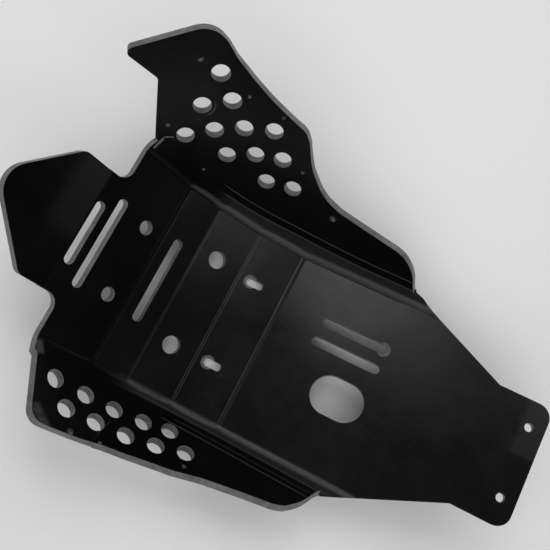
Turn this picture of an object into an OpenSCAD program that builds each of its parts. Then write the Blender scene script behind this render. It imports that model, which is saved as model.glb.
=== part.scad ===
// Motorcycle skid plate with a long linkage tail, cut from one sheet of
// black plastic and hot-formed in one piece. Millimetres.
// +x runs to the rear (tail), +y to the side of the large wing, +z up.
// The outer face of the flat base panel lies on z = 0, with the origin at its middle.

/* [Sheet] */
// thickness of the sheet
sheet_t = 8; // [5:0.5:12]
// inside radius of the cross bends
bend_r = 16; // [14:1:30]
// inside radius of the two side folds
fold_r = 12; // [8:1:13]
// half width of the flat between the side folds
flat_half = 94; // [80:1:110]

/* [Panels, lengths along the sheet] */
// nose tip to the nose bend
nose_len = 80; // [65:1:95]
// nose bend to bend A
ramp_len = 80; // [74:1:90]
// bend A to bend B
knee_len = 39.5; // [34:0.5:50]
// bend B to bend C
front_len = 49; // [46:0.5:60]
// bend C to bend D, the panel that lies flat
base_len = 51; // [47:0.5:62]
// bend D to the end of the tail
tail_len = 281.5; // [270:0.5:300]

/* [Bend angles] */
// nose bend
bend_nose = 6; // [2:0.5:12]
// bend A
bend_a = 14.5; // [8:0.5:18]
// bend B
bend_b = 9.5; // [5:0.5:14]
// bend C
bend_c = 14; // [8:0.5:18]
// bend D
bend_d = 16; // [8:0.5:20]

/* [Side wings] */
// slope of the large wing beside the base panel
wing_l_slope = 57.5; // [52:0.5:62]
// forward lean of the straight lines of the large wing
wing_l_lean = 5.9; // [2:0.1:10]
// slope of the small wing beside the base panel
wing_s_slope = 46.4; // [42:0.2:52]
// forward lean of the straight lines of the small wing
wing_s_lean = 9.9; // [5:0.1:14]
// how far a wing takes to follow each cross bend, each way
wing_ease = 18; // [10:0.5:19]

/* [Nose outline] */
// half width of the nose lobe
nose_half = 60; // [50:1:70]
// radius of the nose tip
nose_tip_r = 23; // [10:1:30]
// sideways place of the nose tip
nose_tip_y = 2.5; // [-5:0.5:5]
// radius of the two nose shoulders
nose_shoulder_r = 10; // [4:1:16]
// radius of the notch between nose and wing
notch_r = 12.5; // [8:0.5:16]
// straight front edge of both wings, before bend A
wing_front_len = 61; // [56:0.5:68]

/* [Tail outline] */
// panel length from bend D to the rear ends of the folds
fold_rear_len = 118; // [108:1:126]
// half width of the tail taper where the folds end
tail_root_half = 110; // [104:1:116]
// half width of the parallel tail tab
tab_half = 61; // [52:1:70]
// length of the parallel tail tab
tab_len = 54; // [40:1:70]
// radius of the two tail corners
tab_r = 14; // [6:1:22]

/* [Vent holes] */
// diameter of the vent holes in both wings
vent_d = 17; // [12:0.5:20]

/* [Slots and holes of the centre] */
// width of the three cross slots
cross_slot_w = 10; // [6:0.5:12]
// length of the first cross slot
cross_slot_1 = 64; // [50:1:80]
// length of the second cross slot
cross_slot_2 = 92; // [80:1:110]
// length of the third cross slot, behind bend A
cross_slot_3 = 90; // [80:1:110]
// distance of the first cross slot from the nose bend
slot_1_from_nose = 7.5; // [6.5:0.5:9]
// distance of the second cross slot from the nose bend
slot_2_from_nose = 26; // [22:0.5:32]
// distance of the third cross slot behind bend A
slot_3_from_a = 17.5; // [14:0.5:22]
// diameter of the two ramp holes
ramp_hole_d = 14; // [10:0.5:18]
// distance of the ramp holes in front of bend A
ramp_hole_x = 20.5; // [16:0.5:26]
// half distance between the ramp holes
ramp_hole_y = 36; // [28:1:44]
// diameter of the two front panel holes
front_hole_d = 18; // [12:0.5:20]
// distance of the front panel holes behind bend B
front_hole_x = 21.5; // [18:0.5:30]
// half distance between the front panel holes
front_hole_y = 48; // [38:1:58]
// width of the slotted bolt holes
bolt_slot_w = 8; // [6:0.5:9]
// overall length of the slotted bolt holes
bolt_slot_len = 18.5; // [14:0.5:22]
// distance of the slotted bolt holes behind bend C
bolt_slot_x = 18.5; // [16:0.5:24]
// half distance between the slotted bolt holes
bolt_slot_y = 46; // [38:1:56]
// diameter of the countersinks
sink_d = 14.5; // [11:0.5:17]
// depth of the countersinks
sink_depth = 3.2; // [1:0.2:4]

/* [Tail openings] */
// width of the two long tail slots
tail_slot_w = 10; // [6:0.5:12]
// overall length of the long tail slots
tail_slot_len = 74; // [60:1:90]
// distance of the tail slots behind bend D
tail_slot_x = 44.5; // [38:0.5:52]
// sideways place of the outer tail slot
tail_slot_y1 = 43.5; // [38:0.5:50]
// sideways place of the inner tail slot
tail_slot_y2 = 22; // [16:0.5:27]
// width of the round-ended drain hole
drain_w = 39.5; // [30:0.5:46]
// overall length of the drain hole
drain_len = 55; // [48:0.5:64]
// distance of the drain hole behind bend D
drain_x = 65; // [55:0.5:75]
// sideways place of the drain hole
drain_y = -20.8; // [-26:0.2:-14]
// diameter of the two tail holes
tail_hole_d = 8.5; // [5:0.5:12]
// distance of the tail holes from the tail edge
tail_hole_x = 15; // [10:0.5:22]
// half distance between the tail holes
tail_hole_y = 35.5; // [26:0.5:46]
// diameter of the shallow dimple on the centre line of the tail
dimple_d = 8; // [4:0.5:12]
// depth of the dimple
dimple_depth = 0.5; // [0.2:0.1:1.5]
// distance of the dimple behind bend D
dimple_x = 205; // [190:1:220]

/* [Hidden] */
$fn = 96;

// panel slopes: 0 nose, 1 ramp, 2 knee, 3 front, 4 base, 5 tail
slope = [-bend_c - bend_b - bend_a - bend_nose, -bend_c - bend_b - bend_a,
         -bend_c - bend_b, -bend_c, 0, bend_d];
length = [nose_len, ramp_len, knee_len, front_len, base_len, tail_len];
turn = [bend_nose, bend_a, bend_b, bend_c, bend_d];
function dir2(a) = [cos(a), sin(a)];
function along(a) = [cos(a), 0, sin(a)];
function normal(a) = [-sin(a), 0, cos(a)];
function unit(v) = v / norm(v);
bend_pt_c = [-base_len / 2, 0, sheet_t];
bend_pt_d = bend_pt_c + base_len * along(slope[4]);
bend_pt_b = bend_pt_c - front_len * along(slope[3]);
bend_pt_a = bend_pt_b - knee_len * along(slope[2]);
bend_pt_n = bend_pt_a - ramp_len * along(slope[1]);
nose_pt = bend_pt_n - nose_len * along(slope[0]);
// start of each panel on the inner face
start = [nose_pt, bend_pt_n, bend_pt_a, bend_pt_b, bend_pt_c, bend_pt_d];
function tangent(i) = bend_r * tan(turn[i] / 2);

// places children in the frame of panel i: x along it, z = 0 on its inner face
module on_panel(i) {
    translate(start[i]) rotate([0, -slope[i], 0]) children();
}

function arc_pts(c, r, a0, a1) =
    let (n = max(3, ceil(abs(a1 - a0) / 7.5)))
    [for (k = [0 : n]) c + r * dir2(a0 + (a1 - a0) * k / n)];
// one corner [x, y, r] of an outline, rounded to its radius
function round_corner(p, q, s) =
    let (u = unit([p[0] - q[0], p[1] - q[1]]), v = unit([s[0] - q[0], s[1] - q[1]]),
         half = acos(u * v) / 2, m = unit(u + v), c = [q[0], q[1]] + m * q[2] / sin(half),
         t1 = [q[0], q[1]] + u * q[2] / tan(half), t2 = [q[0], q[1]] + v * q[2] / tan(half),
         a0 = atan2(t1[1] - c[1], t1[0] - c[0]), a1 = atan2(t2[1] - c[1], t2[0] - c[0]),
         d = a1 - a0 > 180 ? a1 - a0 - 360 : a1 - a0 < -180 ? a1 - a0 + 360 : a1 - a0)
    q[2] <= 0 ? [[q[0], q[1]]] : arc_pts(c, q[2], a0, a0 + d);
function rounded(pts) =
    let (n = len(pts))
    [for (i = [0 : n - 1]) each round_corner(pts[(i + n - 1) % n], pts[i], pts[(i + 1) % n])];

// The formed sheet, before trimming. A wing is a developable surface: all of
// its straight lines run in one direction, so its slope beside each panel
// follows from the panel's own slope.

line_l = [-sin(wing_l_lean), cos(wing_l_lean) * cos(wing_l_slope), cos(wing_l_lean) * sin(wing_l_slope)];
line_s = [-sin(wing_s_lean), cos(wing_s_lean) * cos(wing_s_slope), cos(wing_s_lean) * sin(wing_s_slope)];
// direction up the wing, square to a panel of slope a
function up_dir(g, a) = unit(g - (g * along(a)) * along(a));
function wing_n(g, a) = let (t = up_dir(g, a)) [t[1] * normal(a)[0], -t * normal(a), t[1] * normal(a)[2]];
function wing_phi(g, a) = acos(up_dir(g, a)[1]);
// foot of the wing, where the side fold ends, at distance x along panel i
function foot(g, i, x) =
    let (phi = wing_phi(g, slope[i]))
    start[i] + x * along(slope[i]) + (flat_half + fold_r * sin(phi)) * [0, 1, 0] + fold_r * (1 - cos(phi)) * normal(slope[i]);
// meeting point of the wing beside panels i and i + 1
function meet(g, i) =
    let (n0 = wing_n(g, slope[i]), n1 = wing_n(g, slope[i + 1]), f0 = foot(g, i, 0), f1 = foot(g, i + 1, 0),
         x0 = ((f1 - f0) * n1) / (along(slope[i]) * n1), x1 = ((f0 - f1) * n0) / (along(slope[i + 1]) * n0))
    (foot(g, i, x0) + foot(g, i + 1, x1)) / 2;

// developed distance of each panel's start behind the nose bend
function run(i) = i == 0 ? -nose_len : run(i - 1) + length[i - 1];
// cross section at developed distance d: [point on the inner face, slope, bend or -1, d from that bend]
function section(d) =
    let (near = [for (i = [0 : 4]) if (abs(d - run(i + 1)) < tangent(i) + 0.01) i],
         ease = [for (i = [1 : 4]) if (abs(d - run(i + 1)) < wing_ease + 0.01) i],
         j = len([for (i = [1 : 5]) if (d > run(i)) i]))
    len(near) > 0 ?
        let (i = near[0], a = slope[i] + turn[i] * (0.5 + (d - run(i + 1)) / (2 * tangent(i))))
        [start[i] + (length[i] - tangent(i)) * along(slope[i]) + bend_r * (normal(slope[i]) - normal(a)), a,
         i == 0 ? -1 : i, d, max(i, 1)] :
        [start[j] + (d - run(j)) * along(slope[j]), slope[j], len(ease) > 0 ? ease[0] : -1, d, max(j, 1)];

// foot of the wing and the slope it follows, for one section
function eased(g, s) =
    let (j = s[2], d = s[3], i = s[4], free = 30)
    j < 0 ? [foot(g, i, d - run(i)) + max(0, -d - free) * sin(bend_nose) * normal(slope[1]), slope[i]] :
    let (u = 0.5 + (d - run(j + 1)) / (2 * wing_ease))
        [(1 - u) * (1 - u) * foot(g, j, length[j] - wing_ease) + 2 * u * (1 - u) * meet(g, j) + u * u * foot(g, j + 1, wing_ease),
         slope[j] + u * turn[j]];

function bend_stations(i) = [for (k = [-1, -1/3, 1/3, 1]) run(i + 1) + k * tangent(i)];
function eased_stations(i) = concat([for (k = [4 : -1 : 1]) run(i + 1) - k * wing_ease / 4], bend_stations(i),
    [for (k = [1 : 4]) run(i + 1) + k * wing_ease / 4]);
rear = run(5) + fold_rear_len;
stations = concat([-nose_len - 15, -nose_len / 2, -20], bend_stations(0), [20, 45], eased_stations(1), eased_stations(2),
    [run(4) - 24.5], eased_stations(3), [run(4) + 22, run(4) + 26], eased_stations(4),
    [rear - 80, rear - 62, rear - 50], [for (k = [42 : -4 : 2]) rear - k], [rear + 15, run(5) + tail_len + 15]);

// half a section from the edge of the flat to the top of a wing: [inner, outer] pairs
fold_steps = 6;
function half_section(g, s, reach) =
    let (e = s[0] + flat_half * [0, 1, 0], w = eased(g, s), f = w[0], t = up_dir(g, w[1]), phi = wing_phi(g, w[1]),
         h = 4 / 3 * tan(phi / 4) * fold_r, n = wing_n(g, w[1]))
    concat(
        [[e, e - sheet_t * normal(s[1])]],
        [for (k = [1 : fold_steps - 1]) let (v = k / fold_steps, q = 1 - v,
            p = q * q * q * e + 3 * q * q * v * (e + h * [0, 1, 0]) + 3 * q * v * v * (f - h * t) + v * v * v * f,
            d = q * q * h * [0, 1, 0] + 2 * q * v * (f - h * t - e - h * [0, 1, 0]) + v * v * h * t,
            o = unit(cross(along(s[1] + v * (w[1] - s[1])), d))) [p, p - sheet_t * o]],
        [[f, f - sheet_t * n], [f + reach * g, f + reach * g - sheet_t * n]]);
function mirrored(p) = [p[0], -p[1], p[2]];

module formed_sheet() {
    rows = [for (d = stations) let (s = section(d), l = half_section(line_l, s, lookup(d, top_l)), r = half_section(line_s, s, lookup(d, top_s)))
        concat([for (k = [len(r) - 1 : -1 : 0]) [mirrored(r[k][0]), mirrored(r[k][1])]], l)];
    m = len(rows[0]);
    n = len(rows);
    pts = [for (row = rows) each concat([for (p = row) p[0]], [for (p = row) p[1]])];
    function at(k, j) = k * 2 * m + j;
    faces = concat(
        [for (k = [0 : n - 2], j = [0 : m - 2]) each [
            [at(k, j), at(k, j + 1), at(k + 1, j)], [at(k, j + 1), at(k + 1, j + 1), at(k + 1, j)],
            [at(k, m + j), at(k + 1, m + j), at(k, m + j + 1)], [at(k, m + j + 1), at(k + 1, m + j), at(k + 1, m + j + 1)]]],
        [for (k = [0 : n - 2]) each [
            [at(k, 0), at(k + 1, 0), at(k, m)], [at(k + 1, 0), at(k + 1, m), at(k, m)],
            [at(k, m - 1), at(k, 2 * m - 1), at(k + 1, m - 1)], [at(k + 1, m - 1), at(k, 2 * m - 1), at(k + 1, 2 * m - 1)]]],
        [for (j = [0 : m - 2]) each [
            [at(0, j), at(0, m + j), at(0, j + 1)], [at(0, j + 1), at(0, m + j), at(0, m + j + 1)],
            [at(n - 1, j), at(n - 1, j + 1), at(n - 1, m + j)], [at(n - 1, j + 1), at(n - 1, m + j + 1), at(n - 1, m + j)]]]);
    polyhedron(points = pts, faces = faces, convexity = 8);
}

// height of each wing's free edge above the fold, measured along the wing's
// straight lines: [developed distance behind the nose bend, height]
top_l = [[-100, 160], [45, 153], [62, 150.6], [66.5, 150], [71, 149], [75.5, 147.3], [80, 145.3], [84.4, 143], [109.8, 135.7], [134.9, 129.2], [158.2, 124.9], [166.5, 123.4], [170.5, 121.5], [174.1, 118.4],
    [178.4, 112.4], [184.1, 99.2], [190.5, 88.8], [198, 79.6], [206.1, 72.1], [216, 65.5], [231.6, 59.3], [253.2, 54.4],
    [299.5, 44.4], [307, 41.3], [313.4, 37.1], [322.1, 28.5], [328, 19], [333.5, 6], [335.5, 3]];
top_s = [[-100, 85], [98, 85], [103, 85], [118.4, 82.1], [144.6, 76.7], [163.1, 74.6], [189.8, 69.6], [208.4, 66.6], [234.8, 58.5],
    [272.4, 50.6], [300.8, 45.6], [306, 43.8], [312, 40.4], [321.4, 29.8], [326, 22], [331.5, 8.2], [335.5, 2]];

// trimming

// distance from the nose bend to the straight front edge of the wings
front_edge = ramp_len - wing_front_len;

module nose_trim() {
    side = 118;
    // the two 45 degree edges would meet this far ahead of the rounded tip
    tip = -nose_tip_r * (sqrt(2) - 1);
    on_panel(0) translate([0, 0, -30]) linear_extrude(height = 39) difference() {
        translate([-40, -side]) square([nose_len + 38, 2 * side]);
        polygon(rounded([[nose_len + 20, -nose_half, 0], [tip + nose_half + nose_tip_y, -nose_half, nose_shoulder_r],
            [tip, nose_tip_y, nose_tip_r], [tip + nose_half - nose_tip_y, nose_half, nose_shoulder_r], [nose_len + 20, nose_half, 0]]));
    }
    on_panel(1) translate([0, 0, -30]) linear_extrude(height = 39) difference() {
        translate([-5, -side - 1]) square([front_edge + 5, 2 * side + 2]);
        polygon(rounded([[-10, -nose_half - 0.5, 0], [-10, nose_half + 0.5, 0], [front_edge, nose_half, notch_r], [front_edge, 200, 0],
            [front_edge + 50, 200, 0], [front_edge + 50, -200, 0], [front_edge, -200, 0], [front_edge, -nose_half, notch_r]]));
    }
}

module tail_trim() {
    on_panel(5) translate([0, 0, -30]) linear_extrude(height = 60) difference() {
        translate([fold_rear_len, -160]) square([tail_len - fold_rear_len + 60, 320]);
        polygon(rounded([[0, -tail_root_half, 0], [fold_rear_len, -tail_root_half, 0],
            [tail_len - tab_len, -tab_half, 0], [tail_len, -tab_half, tab_r], [tail_len, tab_half, tab_r],
            [tail_len - tab_len, tab_half, 0], [fold_rear_len, tail_root_half, 0], [0, tail_root_half, 0]]));
    }
}

// frame on the flat part of a wing beside panel i: x along the panel, y up the
// wing from the line where the two flat faces would meet, z = 0 on the inner face
module on_wing(g, i) {
    e = along(slope[i]);
    t = up_dir(g, slope[i]);
    n = wing_n(g, slope[i]);
    o = start[i] + (flat_half + fold_r * tan(wing_phi(g, slope[i]) / 2)) * [0, 1, 0];
    multmatrix([[e[0], t[0], n[0], o[0]], [e[1], t[1], n[1], o[1]], [e[2], t[2], n[2], o[2]], [0, 0, 0, 1]]) children();
}

// cuts the front edge of a wing: corners [x, y, radius] of the edge, from the fold up
module front_trim(g, edge) {
    last = edge[len(edge) - 1];
    on_wing(g, 1) translate([0, 0, -25]) linear_extrude(height = 50)
        polygon(concat([[-260, edge[0][1]]], rounded(edge), [[last[0], 260], [-260, 260]]));
}
front_l = [[19.8, 7, 0], [-29.5, 57.5, 5], [-68.3, 53.2, 5], [-37.4, 125.3, 22], [10, 125.3, 0]];
front_s = [[16, 7, 0], [16.2, 11.5, 1], [22.5, 15, 5], [29.5, 73.8, 14], [90, 80, 0]];

// openings

// vent holes: [panel, distance along it, height up the wing from the meeting of the two flat faces]
vents_l = [
    [1, 0.9, 101.6], [1, 15.7, 68], [1, 28.4, 92.1], [1, 30.6, 34.8], [1, 43, 59.2],
    [3, -33.8, 90.6], [3, -10.5, 105.7], [2, 1.7, 50.9], [3, -9.5, 72.7], [3, 13.6, 85.1], [3, 16.1, 53.7],
    [4, 4.6, 65.3]];
vents_s = [
    [1, 45.5, 30.6], [2, 3, 34.5], [3, -2.5, 36.6], [3, 27.4, 34.5], [4, 10.6, 30.5],
    [2, -11.3, 56], [3, -15, 58.4], [3, 14.9, 57.2], [4, 4.6, 54.1], [4, 32.4, 45.9]];

module vents(g, places) {
    for (v = places) on_wing(g, v[0]) translate([v[1], v[2], -20]) cylinder(h = 32, d = vent_d);
}

module slot(l, w, h) {
    linear_extrude(height = h) union() {
        translate([(w - l) / 2, 0]) circle(d = w);
        translate([(l - w) / 2, 0]) circle(d = w);
        square([l - w, w], center = true);
    }
}
// a through slot along y on panel i
module cross_slot(i, x, l) {
    on_panel(i) translate([x, 0, -sheet_t - 2]) rotate([0, 0, 90]) slot(l, cross_slot_w, sheet_t + 4);
}
// a pair of through holes on panel i
module hole_pair(i, x, y, d) {
    for (s = [-1, 1]) on_panel(i) translate([x, s * y, -sheet_t - 2]) cylinder(h = sheet_t + 4, d = d);
}
// a countersink in the inner face of panel i
module sink(i, x, y) {
    on_panel(i) translate([x, y, -sink_depth]) cylinder(h = sink_depth + 2, d = sink_d);
}

module openings() {
    cross_slot(1, slot_1_from_nose, cross_slot_1);
    cross_slot(1, slot_2_from_nose, cross_slot_2);
    cross_slot(2, slot_3_from_a, cross_slot_3);
    hole_pair(1, ramp_len - ramp_hole_x, ramp_hole_y, ramp_hole_d);
    hole_pair(3, front_hole_x, front_hole_y, front_hole_d);
    for (s = [-1, 1]) on_panel(4) translate([bolt_slot_x, s * bolt_slot_y, -sheet_t - 2]) slot(bolt_slot_len, bolt_slot_w, sheet_t + 4);
    for (s = [-1, 1]) sink(4, bolt_slot_x - (bolt_slot_len - bolt_slot_w) / 2, s * bolt_slot_y);
    for (y = [tail_slot_y1, tail_slot_y2]) on_panel(5) translate([tail_slot_x + tail_slot_len / 2, y, -sheet_t - 2]) slot(tail_slot_len, tail_slot_w, sheet_t + 4);
    sink(5, tail_slot_x + tail_slot_len - tail_slot_w / 2, tail_slot_y1);
    on_panel(5) translate([drain_x + drain_len / 2, drain_y, -sheet_t - 2]) slot(drain_len, drain_w, sheet_t + 4);
    hole_pair(5, tail_len - tail_hole_x, tail_hole_y, tail_hole_d);
    on_panel(5) translate([dimple_x, 0, -dimple_depth]) cylinder(h = dimple_depth + 2, d = dimple_d);
}

skid_plate();

module skid_plate() {
    color([0.03, 0.03, 0.035]) difference() {
        formed_sheet();
        nose_trim();
        tail_trim();
        front_trim(line_l, front_l);
        mirror([0, 1, 0]) front_trim(line_s, front_s);
        vents(line_l, vents_l);
        mirror([0, 1, 0]) vents(line_s, vents_s);
        openings();
    }
}
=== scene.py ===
"""Looks for the black formed skid plate: one sheet of satin black polyethylene
with routed edges, light scuffs and a few nicks, on a plain pale floor.
All lengths are metres, in the frame of the part: x to the tail, y to the side
of the large wing, z up."""

import math

import bpy
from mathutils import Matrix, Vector
from mathutils.bvhtree import BVHTree

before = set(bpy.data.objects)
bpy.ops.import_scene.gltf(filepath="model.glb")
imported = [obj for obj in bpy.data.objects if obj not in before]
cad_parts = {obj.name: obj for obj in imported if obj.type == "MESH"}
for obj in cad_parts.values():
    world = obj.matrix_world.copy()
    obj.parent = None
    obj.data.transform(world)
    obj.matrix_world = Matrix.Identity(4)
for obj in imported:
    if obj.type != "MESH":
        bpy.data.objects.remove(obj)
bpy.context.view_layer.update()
scene = bpy.context.scene
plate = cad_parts["skid_plate"]

# thickness of the sheet, and half the width of the flat between its two folds
SHEET = 0.008
FLAT_HALF = 0.094

# Where faces lie: on a panel within PANEL_HALF of the middle, on a fold within
# FOLD_HALF, and on a wing further out. The rear ends of the folds are cut off
# square to TAIL_RUN, behind x = FOLD_REAR.
PANEL_HALF = 0.090
FOLD_HALF = 0.112
FOLD_REAR = 0.10
TAIL_RUN = Vector((0.961, 0.0, 0.276))
# how far behind a face the sheet's other face may lie, and how squarely the two
# face each other
PROBE_GAP = 2e-5
PROBE_REACH = SHEET * 1.6
BACK_LOW, BACK_HIGH = SHEET * 0.93, SHEET * 1.05
BACK_FACING = -0.93
# how squarely a skin face looks along its panel's, its wing's or the tail's direction
PANEL_FACING, WING_FACING, TAIL_END_FACING = 0.70, 0.85, 0.30
LARGE_WING_NORMAL = Vector((0.14, -0.82, 0.55))
SMALL_WING_NORMAL = Vector((0.04, 0.72, 0.69))

# slots of the three materials on the plate
SKIN, WALL, EDGE = 0, 1, 2
PLASTIC_IOR = 1.5
BUMP_DEPTH = 0.0003

# painted highlight lines along the cross bends: x on the inner face, half width, strength
BEND_GLINT_SOFT = 0.0003
BEND_GLINT_LINES = (
    (-0.1719, 0.0003, 0.10),
    (-0.1104, 0.0002, 0.16),
    (-0.1070, 0.0002, 0.24),
    (-0.0735, 0.0011, 0.26),
    (-0.0722, 0.0002, 0.55),
    (-0.0268, 0.0002, 0.80),
    (-0.0242, 0.0002, 0.80),
    (-0.0255, 0.0009, 0.12),
    (0.0240, 0.0003, 0.85),
)

# Painted highlight lines along the two folds, on the wing named: place across, half
# width, soft edge, first x, last x, soft ends, strength. Those of the large wing bow
# out in the middle, and those of the small wing run at a slant.
LARGE, SMALL = "large", "small"
BOW_MIDDLE, BOW_REACH, BOW_DEPTH = 0.012, 0.075, 0.0016
SLANT = 0.017
# painted highlight lines on the wings beside the folds
FOLD_SIDE_GLINT_LINES = (
    (LARGE, 0.1126, 0.00022, 0.0003, -0.074, 0.122, 0.010, 1.0),
    (SMALL, -0.11345, 0.0002, 0.0003, -0.020, 0.118, 0.012, 1.0),
    (SMALL, -0.1093, 0.0002, 0.0003, -0.010, 0.122, 0.012, 0.5),
)
# painted highlight lines along the wing sides of the fold bands
BAND_EDGE_GLINT_LINES = (
    (LARGE, 0.1074, 0.0003, 0.0005, -0.065, 0.128, 0.020, 1.0),
    (SMALL, -0.1042, 0.0003, 0.0004, -0.050, 0.130, 0.020, 1.0),
)

# nicks and rubs that the sheet picked up: place, size
NICKS = (
    ((-0.1434, 0.1638, 0.1538), 0.0020),
    ((-0.0948, 0.1674, 0.1293), 0.0016),
    ((-0.0601, 0.1693, 0.1215), 0.0016),
    ((-0.0202, 0.1477, 0.0819), 0.0018),
    ((-0.1052, 0.1130, 0.0530), 0.0018),
    ((-0.1490, 0.1197, 0.0956), 0.0020),
    ((0.0280, 0.1305, 0.0574), 0.0030),
    ((-0.0918, -0.1559, 0.0820), 0.0028),
    ((0.0104, -0.1414, 0.0524), 0.0020),
    ((-0.0655, -0.1538, 0.0723), 0.0018),
)
# sharp pale strokes of painted highlight where the sheet buckled at the front ends of the
# folds, and one scratch: start, end, half width
STROKE_SOFT = 0.0009
GLINT_STROKES_AND_SCRATCH = (
    ((-0.1530, 0.1013, 0.0730), (-0.1484, 0.1108, 0.0825), 0.0006),
    ((-0.1516, 0.1075, 0.0780), (-0.1486, 0.1120, 0.0830), 0.0002),
    ((-0.1477, 0.1123, 0.0840), (-0.1414, 0.1159, 0.0842), 0.0002),
    ((-0.1463, 0.1622, 0.1515), (-0.1395, 0.1672, 0.1590), 0.0002),
)
# broad pale marks beside the small wing, a stretch mark and a painted highlight: start, end, half
# width, soft edge, strength
STRETCH_AND_GLINT_MARKS = (
    ((-0.1262, -0.1490, 0.0925), (-0.1130, -0.1590, 0.0930), 0.0015, 0.0060, 0.22),
    # painted highlight at the front end of the small wing's fold
    ((-0.1530, -0.1020, 0.0738), (-0.1490, -0.1080, 0.0752), 0.0016, 0.0045, 0.35),
)
# crescent that a bolt head left round one vent
SCUFF_CENTRE, SCUFF_RADIUS = (-0.1283, 0.1450, 0.1156), 0.0112

# area lamps: name, place, the point that it faces, width and height, watts
LAMPS = (
    ("key", (-0.36, 0.40, 0.90), (-0.30, 0.36, 0.0), (0.24, 0.50), 1.2),
    ("over_base", (-0.03, 0.38, 0.85), (-0.03, 0.36, 0.0), (0.12, 0.46), 0.19),
    ("over_ramp", (0.44, 0.38, 0.85), (0.40, 0.36, 0.0), (0.18, 0.46), 0.23),
    ("side_left", (0.05, -0.90, 0.95), (0.05, 0.0, 0.03), (1.3, 0.60), 1.8),
    ("side_right", (0.05, 0.98, 0.95), (0.05, 0.0, 0.03), (1.3, 0.60), 1.8),
    ("low", (1.35, 0.62, 0.36), (-0.18, 0.04, 0.09), (0.50, 0.26), 0.2),
)
BACKGROUND = 0.8


# camera at the photograph's viewing angle
def make_camera():
    data = bpy.data.cameras.new("camera")
    data.sensor_fit = "HORIZONTAL"
    data.sensor_width = 36.0
    data.lens = 45.82
    data.clip_start = 0.05
    data.clip_end = 20.0
    cam = bpy.data.objects.new("camera", data)
    cam.location = (-0.0496, -0.08973, 0.70744)
    cam.rotation_euler = (math.radians(8.896), math.radians(-9.793), math.radians(27.223))
    scene.collection.objects.link(cam)
    scene.camera = cam


# Builds one node tree. A value given to a method is a number or another node's
# output, and the masks run from 0 to 1.
class Nodes:
    def __init__(self, tree):
        self.tree = tree
        self.tree.nodes.clear()

    def add(self, kind, **inputs):
        node = self.tree.nodes.new(kind)
        for key, value in inputs.items():
            self.put(node, key.replace("_", " "), value)
        return node

    def put(self, node, key, value):
        socket = node.inputs[key]
        if isinstance(value, bpy.types.NodeSocket):
            self.tree.links.new(value, socket)
        else:
            socket.default_value = value

    # sends a shader to the tree's output node
    def show(self, kind, shader):
        self.tree.links.new(shader.outputs[0], self.add(kind).inputs[0])

    def math(self, op, a, b=0.5, clamp=False):
        node = self.add("ShaderNodeMath")
        node.operation = op
        node.use_clamp = clamp
        self.put(node, 0, a)
        self.put(node, 1, b)
        return node.outputs[0]

    def chain(self, op, parts):
        total = parts[0]
        for part in parts[1:]:
            total = self.math(op, total, part)
        return total

    def times(self, *parts):
        return self.chain("MULTIPLY", parts)

    def most(self, *parts):
        return self.chain("MAXIMUM", parts)

    def plus(self, a, b):
        return self.math("ADD", a, b)

    def minus(self, a, b):
        return self.math("SUBTRACT", a, b)

    def vector(self, op, a, b=None):
        node = self.add("ShaderNodeVectorMath")
        node.operation = op
        self.put(node, 0, a)
        if b is not None:
            self.put(node, 1, b)
        gives_number = op in ("DISTANCE", "LENGTH", "DOT_PRODUCT")
        return node.outputs["Value" if gives_number else "Vector"]

    # to_low below low, to_high above high, and a soft rise or fall between
    def step(self, value, low, high, to_low=0.0, to_high=1.0):
        node = self.add("ShaderNodeMapRange", Value=value, From_Min=low, From_Max=high,
                        To_Min=to_low, To_Max=to_high)
        node.interpolation_type = "SMOOTHSTEP"
        return node.outputs[0]

    # 1 below low, 0 above high
    def fall(self, value, low, high):
        return self.step(value, low, high, to_low=1.0, to_high=0.0)

    # 1 on the line value = centre, 0 beyond its half width and soft edge
    def line(self, value, centre, half, soft):
        return self.fall(self.math("ABSOLUTE", self.minus(value, centre)), half, half + soft)

    # 1 between low and high
    def span(self, value, low, high, soft):
        return self.times(self.step(value, low - soft, low), self.fall(value, high, high + soft))

    # 1 inside a ball
    def near(self, where, point, radius, soft):
        return self.fall(self.vector("DISTANCE", where, point), radius, radius + soft)

    # 1 along the straight stroke between two points
    def stroke(self, where, start, end, half, soft):
        start, end = Vector(start), Vector(end)
        run = (end - start).normalized()
        away = self.vector("SUBTRACT", where, start)
        off = self.vector("LENGTH", self.vector("CROSS_PRODUCT", away, run))
        along = self.vector("DOT_PRODUCT", away, run)
        return self.times(self.fall(off, half, half + soft),
                          self.span(along, 0.0, (end - start).length, soft))

    def noise(self, where, scale, detail=2.0, rough=0.5, stretch=None, turn=(0, 0, 0)):
        if stretch:
            mapping = self.add("ShaderNodeMapping", Vector=where, Scale=stretch, Rotation=turn)
            where = mapping.outputs["Vector"]
        node = self.add("ShaderNodeTexNoise", Vector=where, Scale=scale, Detail=detail,
                        Roughness=rough)
        return node.outputs["Fac"]

    def mix(self, share, a, b):
        node = self.add("ShaderNodeMix")
        node.data_type = "RGBA"
        for socket, value in ((0, share), (6, a), (7, b)):
            self.put(node, socket, value)
        return node.outputs[2]

    def bump(self, height, strength):
        node = self.add("ShaderNodeBump", Height=height, Strength=strength, Distance=BUMP_DEPTH)
        return node.outputs["Normal"]

    def plastic(self, tone, rough, **more):
        shader = self.add("ShaderNodeBsdfPrincipled", Base_Color=tone, Roughness=rough,
                          IOR=PLASTIC_IOR, **more)
        self.show("ShaderNodeOutputMaterial", shader)


def new_material(name):
    mat = bpy.data.materials.new(name)
    mat.use_nodes = True
    return mat, Nodes(mat.node_tree)


# where a point lies on the part
def object_place(n):
    return n.add("ShaderNodeTexCoord").outputs["Object"]


def grey(level, blue=1.06):
    return (level, level, level * blue, 1.0)


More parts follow.
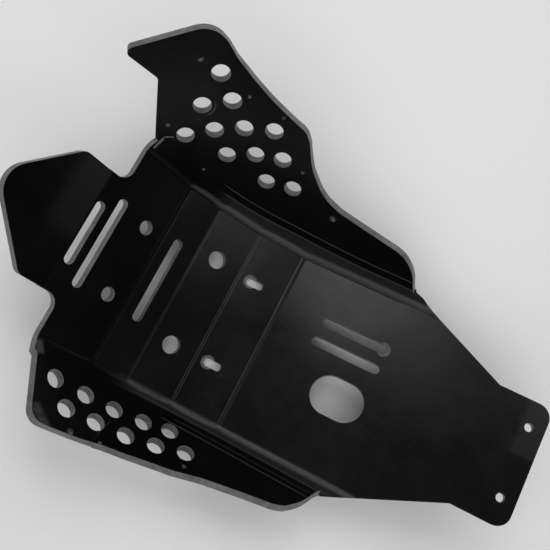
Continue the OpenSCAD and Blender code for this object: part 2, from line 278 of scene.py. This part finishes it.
# fine painted highlight lines along each cross bend
def painted_bend_highlights(n, x, y, flat):
    bend_glints = n.most(*(n.times(n.line(x, place, half, BEND_GLINT_SOFT), strength)
                    for place, half, strength in BEND_GLINT_LINES))
    # the painted highlights brightest near the large wing and fading towards the small one, the
    # front ones most
    fade = n.most(n.step(y, -0.02, 0.05, to_low=0.35, to_high=1.0),
                  n.step(x, -0.060, -0.050, to_low=0.0, to_high=0.6))
    return n.times(bend_glints, n.times(flat, fade))


# Painted light along both folds: a highlight line on each wing beside its fold,
# the band painted paler as the fold's highlight, the bright line along its wing
# side, and painted shade in the crease at the foot and in a stripe behind the last cross bend.
def fold_highlights_and_shade(n, x, y, side, flat):
    across = {
        LARGE: n.minus(y, n.times(n.line(x, BOW_MIDDLE, 0.0, BOW_REACH), BOW_DEPTH)),
        SMALL: n.plus(y, n.times(x, SLANT)),
    }

    def lines(table):
        return n.most(*(
            n.times(n.line(across[wing], place, half, soft), n.span(x, first, last, ends), strength)
            for wing, place, half, soft, first, last, ends, strength in table))

    fold_band_glint = n.times(n.most(n.span(y, 0.0950, 0.1075, soft=0.0008),
                          n.span(y, -0.1050, -0.0950, soft=0.0008)),
                   n.span(x, -0.060, 0.150, soft=0.030))
    # painted shade along the crease at the foot of each fold
    painted_crease_shade = n.times(n.line(side, FLAT_HALF + 0.0003, half=0.00025, soft=0.0004),
                     n.span(x, -0.075, 0.125, soft=0.01))
    # painted shade in a stripe behind the last cross bend
    stripe = n.times(n.span(x, 0.0256, 0.0278, soft=0.0006), flat, 0.7)
    return lines(FOLD_SIDE_GLINT_LINES), fold_band_glint, lines(BAND_EDGE_GLINT_LINES), n.most(painted_crease_shade, stripe)


# stretch marks in the corner of the small wing, painted highlights at the front ends of the folds,
# and a scratch
def stretches_scratch_and_glints(n, pos):
    broad = n.most(*(n.times(n.stroke(pos, start, end, half, soft), strength)
                     for start, end, half, soft, strength in STRETCH_AND_GLINT_MARKS))
    patchy = n.step(n.noise(pos, 160.0, detail=3.0, rough=0.6), 0.28, 0.62, to_low=0.4)
    fleck = n.step(n.noise(pos, 420.0, detail=3.0, rough=0.6), 0.34, 0.52, to_low=0.35)
    return n.most(n.times(broad, patchy), *(
        n.times(n.stroke(pos, start, end, half, STROKE_SOFT), fleck)
        for start, end, half in GLINT_STROKES_AND_SCRATCH))


def scuff_mark(n, pos, x, z):
    ring = n.line(n.vector("DISTANCE", pos, SCUFF_CENTRE), SCUFF_RADIUS, half=0.0004, soft=0.0007)
    return n.times(ring, n.times(n.step(x, -0.1240, -0.1200), n.fall(z, 0.1130, 0.1230)))


def nick_marks(n, pos):
    torn = n.step(n.noise(pos, 900.0, detail=3.0, rough=0.7), 0.45, 0.55)
    return n.most(*(n.times(n.near(pos, place, size * 0.4, size), torn) for place, size in NICKS))


# hairline rubs in two directions, kept to patches
def rub_marks(n, pos):
    lines_a = n.noise(pos, 70.0, detail=4.0, rough=0.7,
                      stretch=(1.0, 26.0, 26.0), turn=(0, 0, 0.35))
    lines_b = n.noise(pos, 55.0, detail=4.0, rough=0.7,
                      stretch=(24.0, 1.0, 3.0), turn=(0, 0, -0.5))
    patch_a = n.step(n.noise(pos, 9.0), 0.50, 0.68)
    patch_b = n.step(n.noise(pos, 7.0, stretch=(1.2, 0.8, 1.0)), 0.54, 0.70)
    return n.most(n.times(n.step(lines_a, 0.63, 0.70), patch_a),
                  n.times(n.step(lines_b, 0.66, 0.72), patch_b))


# two patches of painted reflection: one side of the nose and one tail corner
def painted_reflection_patches(n, x, y):
    nose = n.times(n.span(y, 0.004, 0.080, soft=0.026),
                   n.times(n.step(x, -0.202, -0.188), n.fall(x, -0.1726, -0.1722)))
    tail = n.times(n.span(y, 0.009, 0.080, soft=0.003), n.step(x, 0.271, 0.277))
    return n.most(nose, tail)


def black_skin():
    mat, n = new_material("black_polyethylene")
    pos = object_place(n)
    x, y, z = n.add("ShaderNodeSeparateXYZ", Vector=pos).outputs
    side = n.math("ABSOLUTE", y)
    flat = n.fall(side, FLAT_HALF - 0.0006, FLAT_HALF)

    # broad unevenness of the hot-formed sheet, the fine grain of its skin, and dust
    cloud = n.noise(pos, 11.0, detail=3.0, rough=0.6)
    mottle = n.noise(pos, 55.0, detail=3.0, rough=0.6)
    grain = n.noise(pos, 1400.0, rough=0.6)
    dust = n.step(n.noise(pos, 620.0, detail=1.0), 0.74, 0.80)

    rubs = rub_marks(n, pos)
    # painted highlights along the cross bends
    bend_glints = painted_bend_highlights(n, x, y, flat)
    # painted highlights along the folds (clamp is one of their highlight lines), and painted shade
    # in their creases
    clamp, fold_band_glint, band_edge_glint, painted_crease_shade = fold_highlights_and_shade(n, x, y, side, flat)
    nicks = nick_marks(n, pos)
    # real nicks, stretch marks and a scratch, with the painted highlights at the fold fronts
    nicks_stretches_and_glints = n.most(stretches_scratch_and_glints(n, pos), nicks)
    # the painted reflections, highlights and marks, each with its strength
    marks = ((painted_reflection_patches(n, x, y), 0.12), (bend_glints, 0.85), (clamp, 0.60), (fold_band_glint, 0.22),
             (band_edge_glint, 0.55), (scuff_mark(n, pos, x, z), 0.70), (nicks_stretches_and_glints, 0.60))
    # real rubs and dust, together with the painted highlights, reflections and marks
    wear_and_painted_light = n.most(n.plus(n.times(rubs, 0.22), n.times(dust, 0.10)),
                  *(n.times(mark, strength) for mark, strength in marks))

    tone = n.mix(n.step(cloud, 0.35, 0.7), grey(0.0011), grey(0.0020))
    # paler where rubbed or dusty, and where highlights and reflections are painted
    tone = n.mix(wear_and_painted_light, tone, grey(0.055))
    # paler still for the nicks, stretch marks and the painted highlights at the fold fronts
    tone = n.mix(n.times(nicks_stretches_and_glints, 0.75), tone, grey(0.17))
    # darker still with painted shade in the fold creases and behind the last cross bend
    tone = n.mix(n.times(painted_crease_shade, 0.8), tone, grey(0.0008))

    rough = n.plus(n.step(cloud, 0.3, 0.7, to_low=0.18, to_high=0.24),
                   n.step(mottle, 0.35, 0.65, to_low=-0.012, to_high=0.016))
    rough = n.plus(rough, n.times(wear_and_painted_light, 0.30))
    rough = n.math("ADD", rough, n.times(painted_crease_shade, 0.65), clamp=True)

    height = n.plus(n.times(grain, 0.20), n.times(mottle, 1.1))
    height = n.minus(height, n.times(n.most(painted_crease_shade, bend_glints, clamp), 0.35))
    height = n.minus(height, n.times(n.most(rubs, nicks), 0.25))
    n.plastic(tone, rough, Normal=n.bump(height, strength=0.35), Specular_IOR_Level=0.24)
    return mat


# a cut wall: paler and duller than the skin, with the fine steps of the router
def routed_wall():
    mat, n = new_material("routed_polyethylene")
    pos = object_place(n)
    steps = n.noise(pos, 240.0, stretch=(1.0, 1.0, 0.12))
    fuzz = n.noise(pos, 1500.0, rough=0.6)
    cloud = n.noise(pos, 40.0)
    pale = n.plus(n.step(cloud, 0.3, 0.7, to_low=0.15, to_high=0.6),
                  n.step(steps, 0.35, 0.65, to_low=0.0, to_high=0.4))
    tone = n.mix(pale, grey(0.05, blue=1.02), grey(0.14, blue=1.02))
    height = n.plus(steps, n.times(fuzz, 0.3))
    n.plastic(tone, 0.48, Normal=n.bump(height, strength=0.3))
    return mat


# the broken edge: scraped smooth and a little shiny, and painted pale as a highlight along the rims
def scraped_highlit_edge():
    mat, n = new_material("scraped_highlit_edge")
    wear = n.step(n.noise(object_place(n), 130.0, detail=3.0, rough=0.6), 0.35, 0.65)
    # painted highlight: the rims paler than the scraped plastic alone
    tone = n.mix(wear, grey(0.06, blue=1.02), grey(0.20, blue=1.02))
    n.plastic(tone, n.step(wear, 0.0, 1.0, to_low=0.30, to_high=0.42))
    return mat


# A face is skin where the sheet's other face lies one thickness behind it, and a
# cut wall elsewhere. Two holes can be one thickness apart too, so a skin face
# also looks along its panel's or wing's own normal. At the rear ends of the
# folds, only the cut that faces the tail is a wall.
def is_skin(tree, face):
    start = face.center - face.normal * PROBE_GAP
    hit, normal, _, far = tree.ray_cast(start, -face.normal, PROBE_REACH)
    backed = (hit is not None and BACK_LOW < far < BACK_HIGH
              and normal.dot(face.normal) < BACK_FACING)
    x, y = face.center.x, face.center.y
    if abs(y) < PANEL_HALF:
        return backed and abs(face.normal.z) > PANEL_FACING
    if abs(y) < FOLD_HALF:
        return abs(face.normal.dot(TAIL_RUN)) < TAIL_END_FACING if x > FOLD_REAR else backed
    wing_normal = LARGE_WING_NORMAL if y > 0 else SMALL_WING_NORMAL
    return backed and abs(face.normal.dot(wing_normal)) > WING_FACING


def modify(name, kind, **settings):
    modifier = plate.modifiers.new(name, kind)
    for key, value in settings.items():
        setattr(modifier, key, value)


def dress_plate():
    mesh = plate.data
    mesh.materials.clear()
    for mat in (black_skin(), routed_wall(), scraped_highlit_edge()):
        mesh.materials.append(mat)
    tree = BVHTree.FromPolygons([v.co.copy() for v in mesh.vertices],
                                [tuple(face.vertices) for face in mesh.polygons])
    for face in mesh.polygons:
        face.material_index = SKIN if is_skin(tree, face) else WALL
        face.use_smooth = True
    modify("weld", "WELD", merge_threshold=2e-6)
    modify("join_flats", "DECIMATE", decimate_type="DISSOLVE", angle_limit=math.radians(0.4),
           delimit={"MATERIAL"})
    modify("broken_edge", "BEVEL", width=0.0006, segments=2, limit_method="ANGLE",
           angle_limit=math.radians(40), material=EDGE)
    modify("even_normals", "WEIGHTED_NORMAL", mode="FACE_AREA", weight=90, keep_sharp=True)


def make_floor():
    reach = 6.0
    corners = [(-reach, -reach, 0), (reach, -reach, 0), (reach, reach, 0), (-reach, reach, 0)]
    mesh = bpy.data.meshes.new("floor")
    mesh.from_pydata(corners, [], [(0, 1, 2, 3)])
    floor = bpy.data.objects.new("floor", mesh)
    # just under the plate, so that the two faces don't share one plane
    floor.location.z = -0.0002
    scene.collection.objects.link(floor)
    mat, n = new_material("pale_floor")
    n.show("ShaderNodeOutputMaterial",
           n.add("ShaderNodeBsdfPrincipled", Base_Color=(0.72, 0.72, 0.72, 1), Roughness=0.9))
    mesh.materials.append(mat)


# Soft surroundings: a faint glow from above and a pale wall on each side of the
# plate, both faded out near the horizon. The camera sees an even pale grey.
def make_surroundings():
    world = bpy.data.worlds.new("world")
    scene.world = world
    world.use_nodes = True
    n = Nodes(world.node_tree)
    direction = n.add("ShaderNodeTexCoord").outputs["Generated"]
    along, across, up = n.add("ShaderNodeSeparateXYZ", Vector=direction).outputs
    above = n.step(up, 0.15, 0.95, to_low=0.05, to_high=0.17)
    left = n.step(across, -0.26, -0.08, to_low=1.7, to_high=0.0)
    right = n.times(n.step(across, 0.10, 0.50, to_low=0.0, to_high=1.6),
                    n.span(along, -0.50, 0.40, soft=0.18))
    glow = n.plus(above, n.times(n.most(left, right), n.step(up, 0.32, 0.58)))
    seen = n.add("ShaderNodeLightPath").outputs["Is Camera Ray"]
    level = n.plus(n.times(seen, BACKGROUND), n.times(n.minus(1.0, seen), glow))
    n.show("ShaderNodeOutputWorld", n.add("ShaderNodeBackground", Strength=level))


def make_lamps():
    for name, place, target, size, power in LAMPS:
        data = bpy.data.lights.new(name, "AREA")
        data.shape = "RECTANGLE"
        data.size, data.size_y = size
        data.energy = power
        lamp = bpy.data.objects.new(name, data)
        lamp.location = place
        facing = Vector(target) - Vector(place)
        lamp.rotation_euler = facing.to_track_quat("-Z", "Y").to_euler()
        scene.collection.objects.link(lamp)


make_camera()
dress_plate()
make_floor()
make_surroundings()
make_lamps()

scene.view_settings.view_transform = "Standard"
